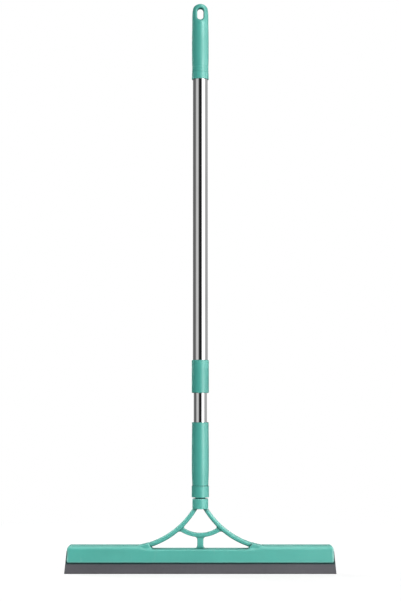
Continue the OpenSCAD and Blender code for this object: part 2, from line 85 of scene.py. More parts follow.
class HeadSizes(bpy.types.PropertyGroup):
    """Sizes of the bar, the blades and the wishbone."""
    bar_half: size("Bar half length", "Middle to the end of the covers", BOX["front_cover"][1].x)
    bar_depth: size("Bar half depth", "Seam to the front of the covers", -BOX["front_cover"][0].y)
    bar_low: size("Bar bottom", "Height of the covers' bottom edge", BOX["front_cover"][0].z)
    bar_mid: size("Bar middle top", "Height of the covers between the feet", 0.0411)
    bar_top: size("Bar end top", "Height of the covers at their ends", 0.0471)
    bar_wall: size("Cover wall", "Wall thickness of the covers", 0.0025)
    bar_ceiling: size("Cover ceiling", "Height where the covers' ends close", 0.0381)
    top_round: size("Long edge rounding", "Rounding of the long top edges at the ends", 0.0078)
    mid_round: size("Middle edge rounding", "Rounding of the long top edges between the feet", 0.0034)
    corner_round: size("Corner rounding", "Rounding of the covers' top corners", 0.0078)
    low_round: size("Bottom corner rounding", "Rounding of the bottom corners", 0.0033)
    seam: size("Half seam", "Half gap between the covers", 0.0001)
    ear_in: size("Ear start", "Middle to an ear's inner end", 0.079942)
    ear_lean: number("Ear lean", "Slope of an ear's inner end", 0.62)
    shoulder_in: size("Shoulder start", "Middle to the foot of the covers' step", 0.091442)
    shoulder_lean: number("Shoulder lean", "Slope of the covers' step", 1.2)
    ear_near: size("Ear inside", "Depth of an ear's inner face", 0.0073)
    ear_far: size("Ear outside", "Depth of an ear's outer face", 0.012)
    blade_half: size("Blade half length", "Middle to the end of a blade", BOX["front_blade"][1].x)
    blade_top: size("Blade top", "Height of a blade's clamped edge", BOX["front_blade"][1].z)
    blade_in: size("Blade inside", "Depth of the clamped face", 0.0035)
    blade_out: size("Blade outside", "Depth of a blade's outer face", -BOX["front_blade"][0].y)
    lip: size("Lip thickness", "Thickness of a blade at the floor", 0.0045)
    end_slope: angle("Blade end slope", "Slope of the blade ends from upright", 5.8)
    leg_x: size("Leg centre across", "Centre of a leg's curve from the middle", 0.1255)
    leg_z: size("Leg centre height", "Centre of a leg's curve above the floor", 0.1776)
    leg_radius: size("Leg radius", "Radius of a leg's upper edge", 0.1331)
    leg_thick: size("Leg thickness", "Thickness of a leg at the socket", 0.0071)
    leg_grow: size("Leg growth", "How much thicker a leg is below the brace", 0.0007)
    leg_depth: size("Leg depth", "Front to rear of a leg", 0.014)
    foot_in: size("Foot start", "Inner side of a leg's foot", 0.089442)
    foot_out: size("Foot end", "Outer side of a leg's foot", 0.103942)
    brace_low: size("Brace height", "Underside of the brace in the middle", 0.0596)
    brace_thick: size("Brace thickness", "Thickness of the brace in the middle", 0.0069)
    brace_radius: size("Brace radius", "Radius of the brace's upper edge", 0.0505)
    brace_under: size("Brace lower radius", "Radius of the brace's lower edge", 0.0615)
    brace_depth: size("Brace depth", "Front to rear of the brace", 0.0095)
    post_depth: size("Post depth", "Front to rear of the post", 0.008)
    post_width: size("Post width", "Width of the post under the brace", 0.0104)
    post_round: size("Post fillet", "Fillets at the post's foot", 0.0052)
    brace_round: size("Brace fillet", "Fillets between the brace and the post", 0.0042)
    fork_round: size("Fork fillet", "Fillets between the brace and the legs", 0.004)
    end_round: size("Bar end rounding", "Rounding of the covers' upright edges", 0.003)
    socket_radius: size("Socket radius", "Outer radius of the socket", 0.0132)
    socket_low: size("Socket bottom", "Height of the socket's underside", 0.1063)
    socket_top: size("Socket top", "Height of the socket's mouth", BOX["handle_frame"][1].z)
    thread_core: size("Thread core", "Radius of the bore at the thread's crests", 0.00875)
    thread_depth: size("Thread depth", "Depth of the socket's thread", 0.0016)
    thread_pitch: size("Thread pitch", "Rise of the thread in one turn", 0.005)
    leg_edge: size("Leg edge rounding", "Rounding of the legs' edges", 0.003)
    edge: size("Edge rounding", "Rounding of the brace and the post", 0.0014)
    screw_x: size("Outer screw", "Middle to the outermost screw", 0.20565)
    screw_pitch: size("Screw pitch", "Spacing of the screws", 0.077)
    screw_z: size("Screw height", "Height of the screws", 0.0305)


class HandleSizes(bpy.types.PropertyGroup):
    """Sizes of the turned pieces of the handle."""
    bore: size("Bore", "Radius of the ring's bore and the collar's mouth", 0.0113)
    ring_radius: size("Ring radius", "Outer radius of the slip ring", BOX["neck_ring"][1].x)
    ring_cup: size("Ring cup", "Radius of the hollow under the slip ring", 0.0125)
    sleeve_radius: size("Sleeve radius", "Largest radius of the lower sleeve", BOX["lower_sleeve"][1].x)
    sleeve_bore: size("Sleeve bore", "Bore of the lower sleeve", 0.01105)
    collar_radius: size("Collar radius", "Outer radius of the collar", BOX["collar"][1].x)
    collar_bore: size("Collar bore", "Bore of the collar round the outer tube", 0.01255)
    inner_radius: size("Inner tube radius", "Outer radius of the inner tube", BOX["inner_tube"][1].x)
    outer_radius: size("Outer tube radius", "Outer radius of the outer tube", BOX["outer_tube"][1].x)
    tube_wall: size("Tube wall", "Wall thickness of both tubes", 0.0006)
    grip_radius: size("Grip radius", "Largest radius of the top grip", 0.01415)
    tab_radius: size("Tab radius", "Radius of the grip's dome", 0.0137)
    tab_low: size("Tab foot", "Height where the tab's faces start to lean", 0.917)
    tab_lean: angle("Tab lean", "Lean of the tab's faces from upright", 14.0)
    tab_face: size("Tab face radius", "Radius of the tab's faces", 0.01505)
    hole_z: size("Hole height", "Height of the hang hole's middle", 0.9388)
    hole_half: size("Hole half width", "Half width of the hang hole", 0.0052)
    hole_rise: size("Hole half height", "Half height of the hang hole", 0.0102)
    hole_round: size("Hole rim rounding", "Rounding of the hang hole's rim", 0.0038)


class Colours(bpy.types.PropertyGroup):
    """Colours of the finishes."""
    mint: colour("Mint plastic", "Moulded pieces", (0.056, 0.39, 0.325))
    rubber: colour("Blade rubber", "Blades", (0.082, 0.081, 0.092))
    steel: colour("Tube steel", "Polished tubes", (0.80, 0.80, 0.80))
    lock: colour("Lock plastic", "Pieces of the twist lock", (0.75, 0.75, 0.72))
    zinc: colour("Screw zinc", "Screws and pins", (0.55, 0.56, 0.57))


class StageSetup(bpy.types.PropertyGroup):
    """Camera and light."""
    camera_back: size("Camera distance", "From the object to the camera", 2.6)
    camera_side: size("Camera offset", "How far the camera stands to the right", 0.0003)
    camera_height: size("Camera height", "Height of the camera above the floor", 0.29)
    camera_tilt: angle("Camera tilt", "How far the camera looks up", 3.5917)
    camera_lens: number("Lens", "Focal length in millimetres for a 36 mm sensor", 93.083)
    key: number("Key light", "Watts of the matt lamp at the front right", 366.0)
    sheen: number("Sheen light", "Watts of the gloss lamp at the front right", 330.0)
    fill: number("Fill light", "Watts of the matt lamp at the left", 31.0)
    rim: number("Rim light", "Watts of the matt lamp behind at the left", 46.0)
    side: number("Side light", "Watts of the gloss lamp at the right", 66.0)
    low: number("Low light", "Watts of the low gloss lamp in front", 11.0)
    high: number("High light", "Watts of the high gloss lamp in front", 45.0)
    back: number("Back light", "Watts of the matt lamp behind", 30.0)
    top: number("Top light", "Watts of the matt lamp overhead", 5.0)
    ambient: number("Ambient light", "Strength of the light from all round", 0.04)


def in_mm(name):
    """The sizes of a group in millimetres; plain numbers stay as they are."""
    group = getattr(bpy.context.scene, name)
    props = group.bl_rna.properties
    scales = {key: MM if props[key].unit == "LENGTH" else 1 for key in group.__annotations__}
    return SimpleNamespace(**{key: getattr(group, key) * scale for key, scale in scales.items()})


def heights(node):
    """The lowest and the highest point of a CAD node, in millimetres."""
    return tuple(corner.z * MM for corner in BOX[node])


# Solids are drawn as fields: negative inside, positive outside, and about the distance to the face.
# Sizes in them are in millimetres. These are roundings of small edges, from crisp to soft.
HAIR, FINE, SLIGHT, SOFT, MILD = 0.2, 0.3, 0.4, 0.5, 0.6
FIT = 0.3  # room round what a cover lets through
SCREWS_A_SIDE = 3
SCREW_HOLE = 2.3  # radius


def keep(a, b, r=0.0):
    """What lies in both solids, with the edge between them rounded."""
    return np.minimum(-r, np.maximum(a, b)) + np.hypot(np.maximum(r + a, 0), np.maximum(r + b, 0))


def join(a, b, r=0.0):
    """Both solids, with the corner between them filleted."""
    return -keep(-a, -b, r)


def cut(a, b, r=0.0):
    """The first solid without the second, with the new edge rounded."""
    return keep(a, -b, r)


def between(at, low, high):
    """What lies from low to high."""
    return np.abs(at - (low + high) / 2) - (high - low) / 2


def lines(low, high, wide, near, *spots):
    """Grid positions from low to high: near apart inside the spots and wide apart between them."""
    at, found = low, [low]
    while at < high:
        at += near if any(a - wide < at < b for a, b in spots) else wide
        found.append(at)
    return np.array(found)


def skin(field, xs, ys, zs):
    """Points and four-sided faces of a field's surface, on a grid of any spacing."""
    f = field(*np.meshgrid(xs, ys, zs, indexing="ij"))
    inside = f < 0
    corners = list(np.ndindex(2, 2, 2))
    shape = tuple(n - 1 for n in f.shape)

    def corner(grid, a, b, c):
        return grid[a:a + shape[0], b:b + shape[1], c:c + shape[2]]

    count = sum(corner(inside, *c).astype(np.int8) for c in corners)
    active = (count > 0) & (count < 8)
    order = np.full(shape, -1)
    order[active] = np.arange(active.sum())
    cells = np.argwhere(active)

    def at(corner_of):
        """The field and the place at one corner of each cell that the surface runs through."""
        i, j, k = (cells + corner_of).T
        return f[i, j, k], np.stack((xs[i], ys[j], zs[k]), 1)

    total, hits = np.zeros((len(cells), 3)), np.zeros(len(cells))
    for p in corners:
        for axis in range(3):
            if p[axis]:
                continue
            q = tuple(1 if n == axis else v for n, v in enumerate(p))
            (fp, start), (fq, end) = at(p), at(q)
            crossed = (fp < 0) != (fq < 0)
            t = np.where(crossed, fp / np.where(crossed, fp - fq, 1), 0)
            total += np.where(crossed[:, None], start + t[:, None] * (end - start), 0)
            hits += crossed
    points = total / hits[:, None]
    faces = []
    for axis in range(3):
        u, v = (axis + 1) % 3, (axis + 2) % 3
        here = [slice(1, -1)] * 3
        here[axis] = slice(0, -1)
        ahead = list(here)
        ahead[axis] = slice(1, None)
        a, b = inside[tuple(here)], inside[tuple(ahead)]
        edge = np.array(np.nonzero(a != b)).T
        out = a[tuple(edge.T)]
        edge[:, u] += 1
        edge[:, v] += 1
        around = []
        for du, dv in ((1, 1), (0, 1), (0, 0), (1, 0)):
            cell = edge.copy()
            cell[:, u] -= du
            cell[:, v] -= dv
            around.append(order[tuple(cell.T)])
        quad = np.stack(around, 1)
        quad[~out] = quad[~out][:, ::-1]
        faces.append(quad)
    return settle(points, field), np.concatenate(faces)


def settle(points, field, rounds=3, reach=0.02, flat=0.05, limit=0.4):
    """Moves points onto the surface of a field."""
    for _ in range(rounds):
        at = field(*points.T)
        slope = np.stack([(field(*(points + step).T) - field(*(points - step).T)) / (2 * reach)
                          for step in np.eye(3) * reach], 1)
        move = (at / np.maximum((slope ** 2).sum(1), flat))[:, None] * slope
        points = points - np.clip(move, -limit, limit)
    return points


def rounded(corners, steps=6, support=0.12):
    """A closed outline of (radius, height, rounding) corners with each corner drawn as an arc."""
    found = []
    for n, (r, z, c) in enumerate(corners):
        here = np.array((r, z))
        back, on = (np.array(corners[m % len(corners)][:2]) - here for m in (n - 1, n + 1))
        if c == 0:
            found.append(here)
            continue
        long_back, long_on = np.hypot(*back), np.hypot(*on)
        back, on = back / long_back, on / long_on
        half = math.acos(np.clip(back @ on, -1, 1)) / 2
        run = c / math.tan(half)
        centre = here + (back + on) / np.hypot(*(back + on)) * c / math.sin(half)
        start, end = here + back * run - centre, here + on * run - centre
        turn = math.pi - 2 * half
        if run + support < long_back / 2:
            found.append(here + back * (run + support))
        for step in range(steps + 1):
            t = step / steps
            arm = math.sin((1 - t) * turn) * start + math.sin(t * turn) * end
            found.append(centre + arm / math.sin(turn))
        if run + support < long_on / 2:
            found.append(here + on * (run + support))
    return np.array(found)


def turned(outline, sides=128):
    """Points and faces of a closed outline turned about the handle's axis."""
    n = len(outline)
    around = np.linspace(0, 2 * math.pi, sides, endpoint=False)
    points = np.stack((np.outer(np.cos(around), outline[:, 0]), np.outer(np.sin(around), outline[:, 0]),
                       np.tile(outline[:, 1], (sides, 1))), 2).reshape(-1, 3)
    a, b = np.meshgrid(np.arange(sides), np.arange(n), indexing="ij")
    a2, b2 = (a + 1) % sides, (b + 1) % n
    faces = np.stack((a * n + b, a2 * n + b, a2 * n + b2, a * n + b2), 2).reshape(-1, 4)
    return points, faces


def placed(name, data):
    """A new object in the scene."""
    made = bpy.data.objects.new(name, data)
    bpy.context.scene.collection.objects.link(made)
    return made


def piece(name, points, faces, material, body, slot, *nodes):
    """A named piece in metres that rides on a body and stands for the given CAD nodes."""
    mesh = bpy.data.meshes.new(name)
    mesh.from_pydata((np.asarray(points) / MM).tolist(), [], np.asarray(faces).tolist())
    work = bmesh.new()
    work.from_mesh(mesh)
    bmesh.ops.recalc_face_normals(work, faces=work.faces)
    work.to_mesh(mesh)
    work.free()
    mesh.polygons.foreach_set("use_smooth", np.ones(len(mesh.polygons), bool))
    mesh.materials.append(material)
    mesh.update()
    made = placed(name, mesh)
    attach(made, body)
    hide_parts(*nodes)
    return made


def mark(mesh, name, values):
    """Stores a number at each point of a mesh, for its material to read."""
    mesh.attributes.new(name, "FLOAT", "POINT").data.foreach_set("value", values)


def screw_gap(s, x, z):
    """Distance from the axis of the nearest clamp screw."""
    across = np.abs(x)
    row = np.min([np.abs(across - s.screw_x + s.screw_pitch * n) for n in range(SCREWS_A_SIDE)], axis=0)
    return np.hypot(row, z - s.screw_z)


def screw_spots(s, reach=6):
    """Where a grid along the bar has to be fine for the screws."""
    middles = [m * (s.screw_x - s.screw_pitch * n) for n in range(SCREWS_A_SIDE) for m in (-1, 1)]
    return [(middle - reach, middle + reach) for middle in middles]


def wishbone_field(s):
    """Socket, legs, brace, post and the web between the blades."""
    growth, brace_end, leg_overlap = 30, 95, 1
    post_gap = 0.05
    socket_edge, bore_floor = 0.9, s.socket_low + 2
    thread_start = bore_floor + 0.8 - 2 * s.thread_pitch
    ridge, flank, thread_slope = 0.64, 0.18, 0.7
    web_inset, web_lift = 6, 2
    foot_step, stem_sink, stem_lift = 1, 1, 2.5
    hole_depth = 6

    def field(x, y, z):
        across, deep = np.abs(x), np.abs(y)
        arc = np.hypot(across - s.leg_x, z - s.leg_z)
        thick = s.leg_thick + s.leg_grow * np.clip((s.brace_low + growth - z) / growth, 0, 1)
        legs = np.abs(arc - s.leg_radius - thick / 2) - thick / 2
        over = s.brace_radius - np.hypot(x, z - s.brace_low - s.brace_thick - s.brace_radius)
        under = np.hypot(x, z - s.brace_low - s.brace_under) - s.brace_under
        brace = keep(keep(np.maximum(over, under), z - brace_end), s.leg_radius + s.leg_thick / 2 - arc)
        fork = join(legs, brace, s.fork_round)
        rise = np.clip(z - s.bar_mid, 0, s.post_round)
        flare = s.post_round - np.sqrt(s.post_round ** 2 - (s.post_round - rise) ** 2)
        post = keep(across - s.post_width / 2 - flare * (z > s.bar_mid), s.bar_mid + post_gap - z)
        post = keep(post, z - s.brace_low - s.brace_thick / 2)
        solid = keep(legs, deep - s.leg_depth / 2, s.leg_edge)
        solid = join(solid, keep(fork, deep - s.brace_depth / 2, s.edge), FINE)
        solid = join(solid, keep(join(fork, post, s.brace_round), deep - s.post_depth / 2, s.edge), FINE)
        solid = keep(keep(solid, across - s.foot_out, SLIGHT), z - s.socket_low - leg_overlap)
        r = np.hypot(x, y)
        socket = keep(r - s.socket_radius, between(z, s.socket_low, s.socket_top), socket_edge)
        solid = join(solid, socket, FINE)
        turn = ((z - thread_start) / s.thread_pitch - np.arctan2(y, x) / (2 * math.pi)) % 1
        crest = np.clip(np.minimum(turn, ridge - turn) / flank, 0, 1)
        bore = keep((r - s.thread_core - s.thread_depth * crest) * thread_slope, bore_floor - z, FINE)
        solid = cut(solid, bore, SLIGHT)
        web = keep(across - s.bar_half + web_inset, deep - s.blade_in, SOFT)
        web = keep(keep(web, s.bar_low + web_lift - z, SOFT), z - s.blade_top, SOFT)
        feet = between(across, s.foot_in + foot_step, s.foot_out)
        stems = keep(np.minimum(feet, across - s.post_width / 2), deep - s.blade_in, SLIGHT)
        stems = keep(keep(stems, s.blade_top - stem_sink - z), z - s.bar_mid - stem_lift)
        web = join(web, stems, MILD)
        return cut(np.minimum(solid, web), keep(screw_gap(s, x, z) - SCREW_HOLE, deep - hole_depth), HAIR)

    return field


def cover_field(s, rear):
    """One cover of the bar: outline, rounded edges, ears, hollow, slots and screw seats."""
    inner = s.bar_depth - s.bar_wall
    recess_round, step_round = 1.6, 2.6
    edge_run, end_run, edge_start = 9, 2, 5
    ear_corner, ear_edge, ear_end, ear_sink = 1.4, 2.0, 15, 2
    ear_blend = (s.shoulder_in - 4, s.shoulder_in + 2), (2.4, FINE)
    hollow_round, ceiling_round = 3.0, 0.8
    boss_radius, boss_overlap, slot_room = 4.3, 0.5, 3
    sink_depth, sink_slope, sink_scale, sink_edge = 2.4, 0.8333, 0.77, 0.15
    pilot, pilot_stop = 2.05, 1

    def field(x, y, z):
        u = y if rear else -y
        across = np.abs(x)
        arc = np.hypot(across - s.leg_x, z - s.leg_z)
        rise = z - s.bar_mid
        inward = (s.ear_in + s.ear_lean * rise - across) / math.hypot(1, s.ear_lean)
        slant = (across - s.shoulder_in - s.shoulder_lean * rise) / math.hypot(1, s.shoulder_lean)
        recess = keep(-rise, slant, recess_round)

        def outline(inset):
            ends = keep(across - s.bar_half + inset, z - s.bar_top + inset, s.corner_round - inset)
            return cut(ends, recess - inset, step_round)

        stops = (s.shoulder_in, s.shoulder_in + edge_run, s.bar_half - edge_run, s.bar_half - end_run)
        shoulder = np.interp(across, stops, (s.mid_round, s.top_round, s.top_round, s.end_round))
        edge = SOFT + (shoulder - SOFT) * np.clip((z - s.bar_low - edge_start) / edge_run, 0, 1)
        body = keep(keep(outline(0), s.bar_low - z, s.low_round), u - s.bar_depth, edge)
        ear = keep(keep(inward, s.leg_radius - arc, ear_corner), between(u, s.ear_near, s.ear_far), ear_edge)
        ear = keep(keep(ear, across - s.leg_x + ear_end), s.bar_mid - ear_sink - z)
        body = join(body, ear, np.interp(across, *ear_blend))
        hollow = keep(outline(s.bar_wall), u - inner, hollow_round)
        hollow = np.minimum(hollow, keep(z - s.bar_ceiling, u - inner, ceiling_round))
        body = cut(body, hollow, SOFT)
        gap = screw_gap(s, x, z)
        boss = keep(keep(gap - boss_radius, s.blade_in - u, FINE), u - inner - boss_overlap)
        body = join(body, boss, MILD)
        slot = keep(between(across, s.ear_in - slot_room, s.foot_out + FIT), -rise)
        foot = between(across, s.foot_in, s.foot_out) - FIT
        body = cut(body, keep(np.minimum(slot, foot), u - s.ear_near), FINE)
        body = cut(body, keep(across - s.post_width / 2 - FIT, u - s.blade_in - FIT), HAIR)
        if rear:
            sunk = np.maximum(u - s.bar_depth + sink_depth, 0) * sink_slope
            body = cut(body, (gap - SCREW_HOLE - sunk) * sink_scale, sink_edge)
        else:
            body = cut(body, keep(gap - pilot, u - inner + pilot_stop), HAIR)
        return keep(body, s.seam - u, FINE)

    return field


def blade_field(s, rear):
    """One rubber blade: upright outside, tapered inside to the lip, with sloping ends."""
    wide = s.blade_out - s.lip
    taper_rise, taper_run = 18.5, wide - s.blade_in
    lean = math.hypot(taper_rise, taper_run)
    edge = 0.7
    groove, groove_out, groove_drop = 1.5, 0.1, 0.6
    screw_room = 4.6

    def field(x, y, z):
        u = y if rear else -y
        taper = -((u - wide) * taper_rise + z * taper_run) / lean
        body = keep(np.maximum(taper, s.blade_in - u), u - s.blade_out, edge)
        body = keep(keep(body, -z, SLIGHT), z - s.blade_top, MILD)
        ends = (np.abs(x) - s.blade_half + math.tan(s.end_slope) * z) * math.cos(s.end_slope)
        body = keep(body, ends, edge)
        body = cut(body, np.hypot(u - s.blade_out - groove_out, z - s.bar_low + groove_drop) - groove, HAIR)
        return cut(body, screw_gap(s, x, z) - screw_room, HAIR)

    return field


def grip_field(h, low, high):
    """Top grip: waisted body, dome, thinned tab, hang hole, ring grooves and bore."""
    top = high - h.tab_radius
    rises = (-1, 0, 1.6, 3.5, 9, 15, 22, 32, 42, 70, 80, 94, 140)
    swells = (0.0, 0.0, 0.05, 0.05, -0.15, -0.4, -0.4, -0.15, 0, 0, -0.15, -0.45, -0.45)
    rim, tab_edge = 0.9, 1.6
    grooves, groove, groove_out, groove_edge = (12, 17, 22), 0.9, 0.25, 0.25
    bore_room, bore_depth = 0.05, 84.85

    def field(x, y, z):
        r = np.hypot(x, y)
        side = r - h.grip_radius - np.interp(z - low, rises, swells)
        body = np.where(z < top, side, np.sqrt(x * x + y * y + (z - top) ** 2) - h.tab_radius)
        body = keep(body, low - z, rim)
        back = np.maximum(z - h.tab_low, 0) * math.tan(h.tab_lean)
        front, rear = (
            np.hypot(x, (back - way * y) * math.cos(h.tab_lean)) - h.tab_face for way in (1, -1))
        body = keep(body, keep(front, rear, tab_edge), MILD)
        run = h.hole_rise - h.hole_half
        hole = np.hypot(x, np.maximum(np.abs(z - h.hole_z) - run, 0)) - h.hole_half
        body = cut(body, hole, h.hole_round)
        for step in grooves:
            ring = np.hypot(r - h.grip_radius - groove_out, z - low - step) - groove
            body = cut(body, ring, groove_edge)
        return cut(body, keep(r - h.outer_radius - bore_room, z - low - bore_depth, FINE), SLIGHT)

    return field


# Finishes. Every pattern is laid out in the object's own coordinates.

class Nodes:
    """A node tree that is put together step by step."""

    def __init__(self, tree):
        self.tree = tree

    def set(self, socket, value):
        """Links a socket to another one, or gives it a value."""
        if isinstance(value, bpy.types.NodeSocket):
            self.tree.links.new(value, socket)
        else:
            socket.default_value = value

    def add(self, kind, values=(), out=0, **settings):
        """An output of a new node; its inputs are given in order or by name."""
        node = self.tree.nodes.new("ShaderNode" + kind)
        for key, value in settings.items():
            setattr(node, key, value)
        named = values if isinstance(values, dict) else dict(enumerate(values))
        for key, value in named.items():
            self.set(node.inputs[key], value)
        return node.outputs[out]

    def span(self, value, low, high, to_low=0.0, to_high=1.0):
        """A value carried over from one range to another."""
        return self.add("MapRange", (value, low, high, to_low, to_high))

    def maths(self, operation, *values):
        """A calculation with one to three values."""
        return self.add("Math", values, operation=operation)

    def mark(self, name):
        """A number that is stored at the points of the mesh; 0 where there is none."""
        return self.add("Attribute", out="Fac", attribute_name=name)


class Finish(Nodes):
    """The nodes of a new material for the object."""

    def __init__(self, name):
        self.material = bpy.data.materials.new(name)
        self.material.use_nodes = True
        super().__init__(self.material.node_tree)
        self.shader = self.tree.nodes["Principled BSDF"]
        self.place = self.add("TexCoord", out="Object")

    def noise(self, scale, detail=3.0, stretch=(1, 1, 1), roughness=0.5):
        """Noise with so many grains a metre, drawn out along an axis where stretch is below 1."""
        where = self.add("Mapping", {"Vector": self.place, "Scale": stretch})
        return self.add("TexNoise", {
            "Vector": where, "Scale": scale, "Detail": detail, "Roughness": roughness})

    def edges(self, low, high):
        """1 along outward edges and 0 elsewhere."""
        return self.span(self.add("NewGeometry", out="Pointiness"), low, high)

    def crevices(self, reach, low, high):
        """1 in narrow corners and 0 in the open."""
        return self.span(self.add("AmbientOcclusion", {"Distance": reach}, "AO", samples=8), high, low)

    def along(self, axis):
        """The place along an axis, in metres."""
        return self.add("SeparateXYZ", [self.place], axis)

    def upward(self):
        """1 where the surface faces up, 0 where it is upright."""
        return self.add("SeparateXYZ", [self.add("NewGeometry", out="Normal")], "Z")

    def bump(self, *layers):
        """Adds bumps, each given as (pattern, strength, depth in metres)."""
        normal = None
        for pattern, strength, depth in layers:
            values = {"Height": pattern, "Strength": strength, "Distance": depth}
            if normal is not None:
                values["Normal"] = normal
            normal = self.add("Bump", values)
        self.to("Normal", normal)

    def paint(self, rgb, *layers):
        """Lays a base colour and over it layers, each given as (where, colour)."""
        base = (*rgb, 1)
        for where, over in layers:
            base = self.add("Mix", {0: where, 6: base, 7: (*over, 1)}, 2, data_type="RGBA")
        self.to("Base Color", base)

    def to(self, name, value):
        """Sets an input of the shader."""
        self.set(self.shader.inputs[name], value)


def tone(rgb, scale):
    """A colour made lighter or darker."""
    return tuple(min(1.0, c * scale) for c in rgb)


def toward(rgb, other, share):
    """A colour moved towards another."""
    return tuple(a + (b - a) * share for a, b in zip(rgb, other))


PALE_WEAR_AND_HIGHLIGHT = (0.75, 0.9, 0.87)  # rubbed mint plastic, also used for painted highlights
SCUFFED = (0.7, 0.85, 0.82)
DUST = (0.35, 0.35, 0.36)
# Colour of the painted shadow on the rubber just under the covers.
UNDER_COVER_SHADE_COLOUR = (0.012, 0.045, 0.042)


def mint_plastic(rgb):
    """Satin moulded plastic: slight clouding, fine grain, rubbed edges with a painted highlight, faint
    scuffs, and painted light: highlights on the covers' bottom edge and the bar's ends, shade under the
    covers, under the socket, on upward faces, in the fork's joints and in crevices.
    """
    f = Finish("Mint plastic")
    high, across, upward = f.along("Z"), f.maths("ABSOLUTE", f.along("X")), f.upward()
    cloud = f.span(f.noise(26, 4), 0.3, 0.7)
    speck = f.span(f.noise(900, 2), 0.66, 0.78, 0, 0.35)
    # Edges lighter: partly rubbed wear, partly a painted highlight along the edges.
    rub_and_edge_highlight = f.maths("MULTIPLY", f.edges(0.51, 0.58), f.span(f.noise(140, 4), 0.35, 0.65, 0.3, 0.9))
    scuff = f.span(f.noise(60, 6, (1, 1, 0.12), 0.65), 0.62, 0.72, 0, 0.4)
    # Painted highlight along the covers' bottom edge.
    bar_foot_highlight = f.maths("MULTIPLY", f.span(high, 0.0212, 0.0196), f.span(f.noise(200, 3), 0.3, 0.7, 0.7, 1))
    # Painted shade along the lowest millimetre of the covers.
    bar_underside_shade = f.span(high, 0.0200, 0.0190)
    # Painted highlight at the ends of the bar.
    bar_end_highlight = f.span(across, 0.2172, 0.2190, 0, 0.8)
    # Painted shadow on the legs just under the socket.
    under_socket_shadow = f.maths("MULTIPLY", f.span(high, 0.1012, 0.1056), f.span(high, 0.1064, 0.1060))
    # Painted shade on faces that look up.
    upward_face_shade = f.span(upward, 0.3, 0.95, 0, 0.72)
    # Painted shade in narrow corners and between parts, from ambient occlusion.
    crevice_shade = f.crevices(0.012, 0.4, 0.93)
    # Several layers here are painted light: highlights on edges, the covers' bottom edge and the bar's ends;
    # shade under the covers, under the socket, on upward faces, in the fork's joints and in crevices.
    f.paint(
        tone(rgb, 0.95), (cloud, tone(rgb, 1.05)), (speck, tone(rgb, 0.86)),
        (rub_and_edge_highlight, toward(rgb, PALE_WEAR_AND_HIGHLIGHT, 0.4)), (scuff, toward(rgb, SCUFFED, 0.16)),
        (bar_foot_highlight, toward(rgb, PALE_WEAR_AND_HIGHLIGHT, 0.12)), (bar_underside_shade, tone(rgb, 0.5)),
        (bar_end_highlight, toward(rgb, PALE_WEAR_AND_HIGHLIGHT, 0.2)), (under_socket_shadow, tone(rgb, 0.36)), (upward_face_shade, tone(rgb, 0.5)),
        (f.mark("stain"), tone(rgb, 0.5)), (crevice_shade, tone(rgb, 0.4)))
    dull = f.maths("MAXIMUM", crevice_shade, f.span(upward, 0.65, 0.95))
    f.to("Specular IOR Level", f.span(dull, 0, 1, 0.5, 0.14))
    rough = f.span(f.noise(45, 5), 0.3, 0.7, 0.44, 0.54)
    f.to("Roughness", f.maths("ADD", rough, f.maths("MULTIPLY", scuff, 0.25)))
    f.to("IOR", 1.62)
    f.bump((f.noise(1400, 2), 0.12, 0.00004), (f.noise(90, 3), 0.1, 0.00015))
    return f.material


def polished_steel(rgb):
    """Polished stainless tube: fine lengthwise drawing lines, faint smudges and hairline scratches."""
    f = Finish("Polished steel")
    draw = f.noise(900, 3, (1, 1, 0.004))
    smudge = f.span(f.noise(38, 5, (1, 1, 0.5)), 0.35, 0.75)
    f.paint(tone(rgb, 1.03), (smudge, tone(rgb, 0.95)))
    f.to("Metallic", 1.0)
    hair = f.span(f.noise(300, 4, (1, 1, 0.03), 0.7), 0.64, 0.7, 0, 0.04)
    rough = f.maths("ADD", f.span(draw, 0.3, 0.7, 0.03, 0.06), f.maths("MULTIPLY", smudge, 0.03))
    f.to("Roughness", f.maths("ADD", rough, hair))
    f.bump((draw, 0.03, 0.00001))
    return f.material


def blade_rubber(rgb):
    """Matte rubber: lengthwise rolling marks, dusty clouding, a lip darker towards the floor, fine grain,
    and a painted shadow where the blade goes under the covers.
    """
    f = Finish("Blade rubber")
    roll = f.noise(420, 4, (0.012, 1, 1))
    dust = f.span(f.noise(22, 5, (0.4, 1, 1)), 0.35, 0.75)
    rolled = f.span(roll, 0.35, 0.7, 0, 0.35)
    high = f.along("Z")
    # Darker towards the bottom of the lip.
    lip = f.maths("MULTIPLY", f.span(high, 0.0012, 0.0004), f.span(f.noise(120, 4), 0.3, 0.6, 0.4, 1))
    streak = f.span(f.noise(150, 4, (0.3, 1, 1)), 0.3, 0.6, 0.7, 1)
    # Painted shadow on the rubber below the covers' edge, full from 16.5 mm up.
    under_cover_shade = f.maths("MULTIPLY", f.span(high, 0.0153, 0.0165), streak)
    f.paint(
        tone(rgb, 0.94), (dust, toward(rgb, DUST, 0.06)), (rolled, tone(rgb, 0.82)),
        (lip, tone(rgb, 0.6)), (under_cover_shade, UNDER_COVER_SHADE_COLOUR))
    f.to("Roughness", f.span(f.noise(180, 4), 0.3, 0.7, 0.64, 0.8))
    f.to("IOR", 1.4)
    f.bump((roll, 0.12, 0.00008), (f.noise(2200, 2), 0.15, 0.00003))
    return f.material


def lock_plastic(rgb):
    """Dry white bearing plastic with a faint grain."""
    f = Finish("Lock plastic")
    cloud = f.span(f.noise(60, 4), 0.3, 0.7)
    f.paint(tone(rgb, 0.93), (cloud, tone(rgb, 1.03)), (f.edges(0.52, 0.62), tone(rgb, 0.8)))
    f.to("Roughness", f.span(f.noise(200, 3), 0.3, 0.7, 0.42, 0.56))
    f.bump((f.noise(1200, 2), 0.15, 0.00004))
    return f.material


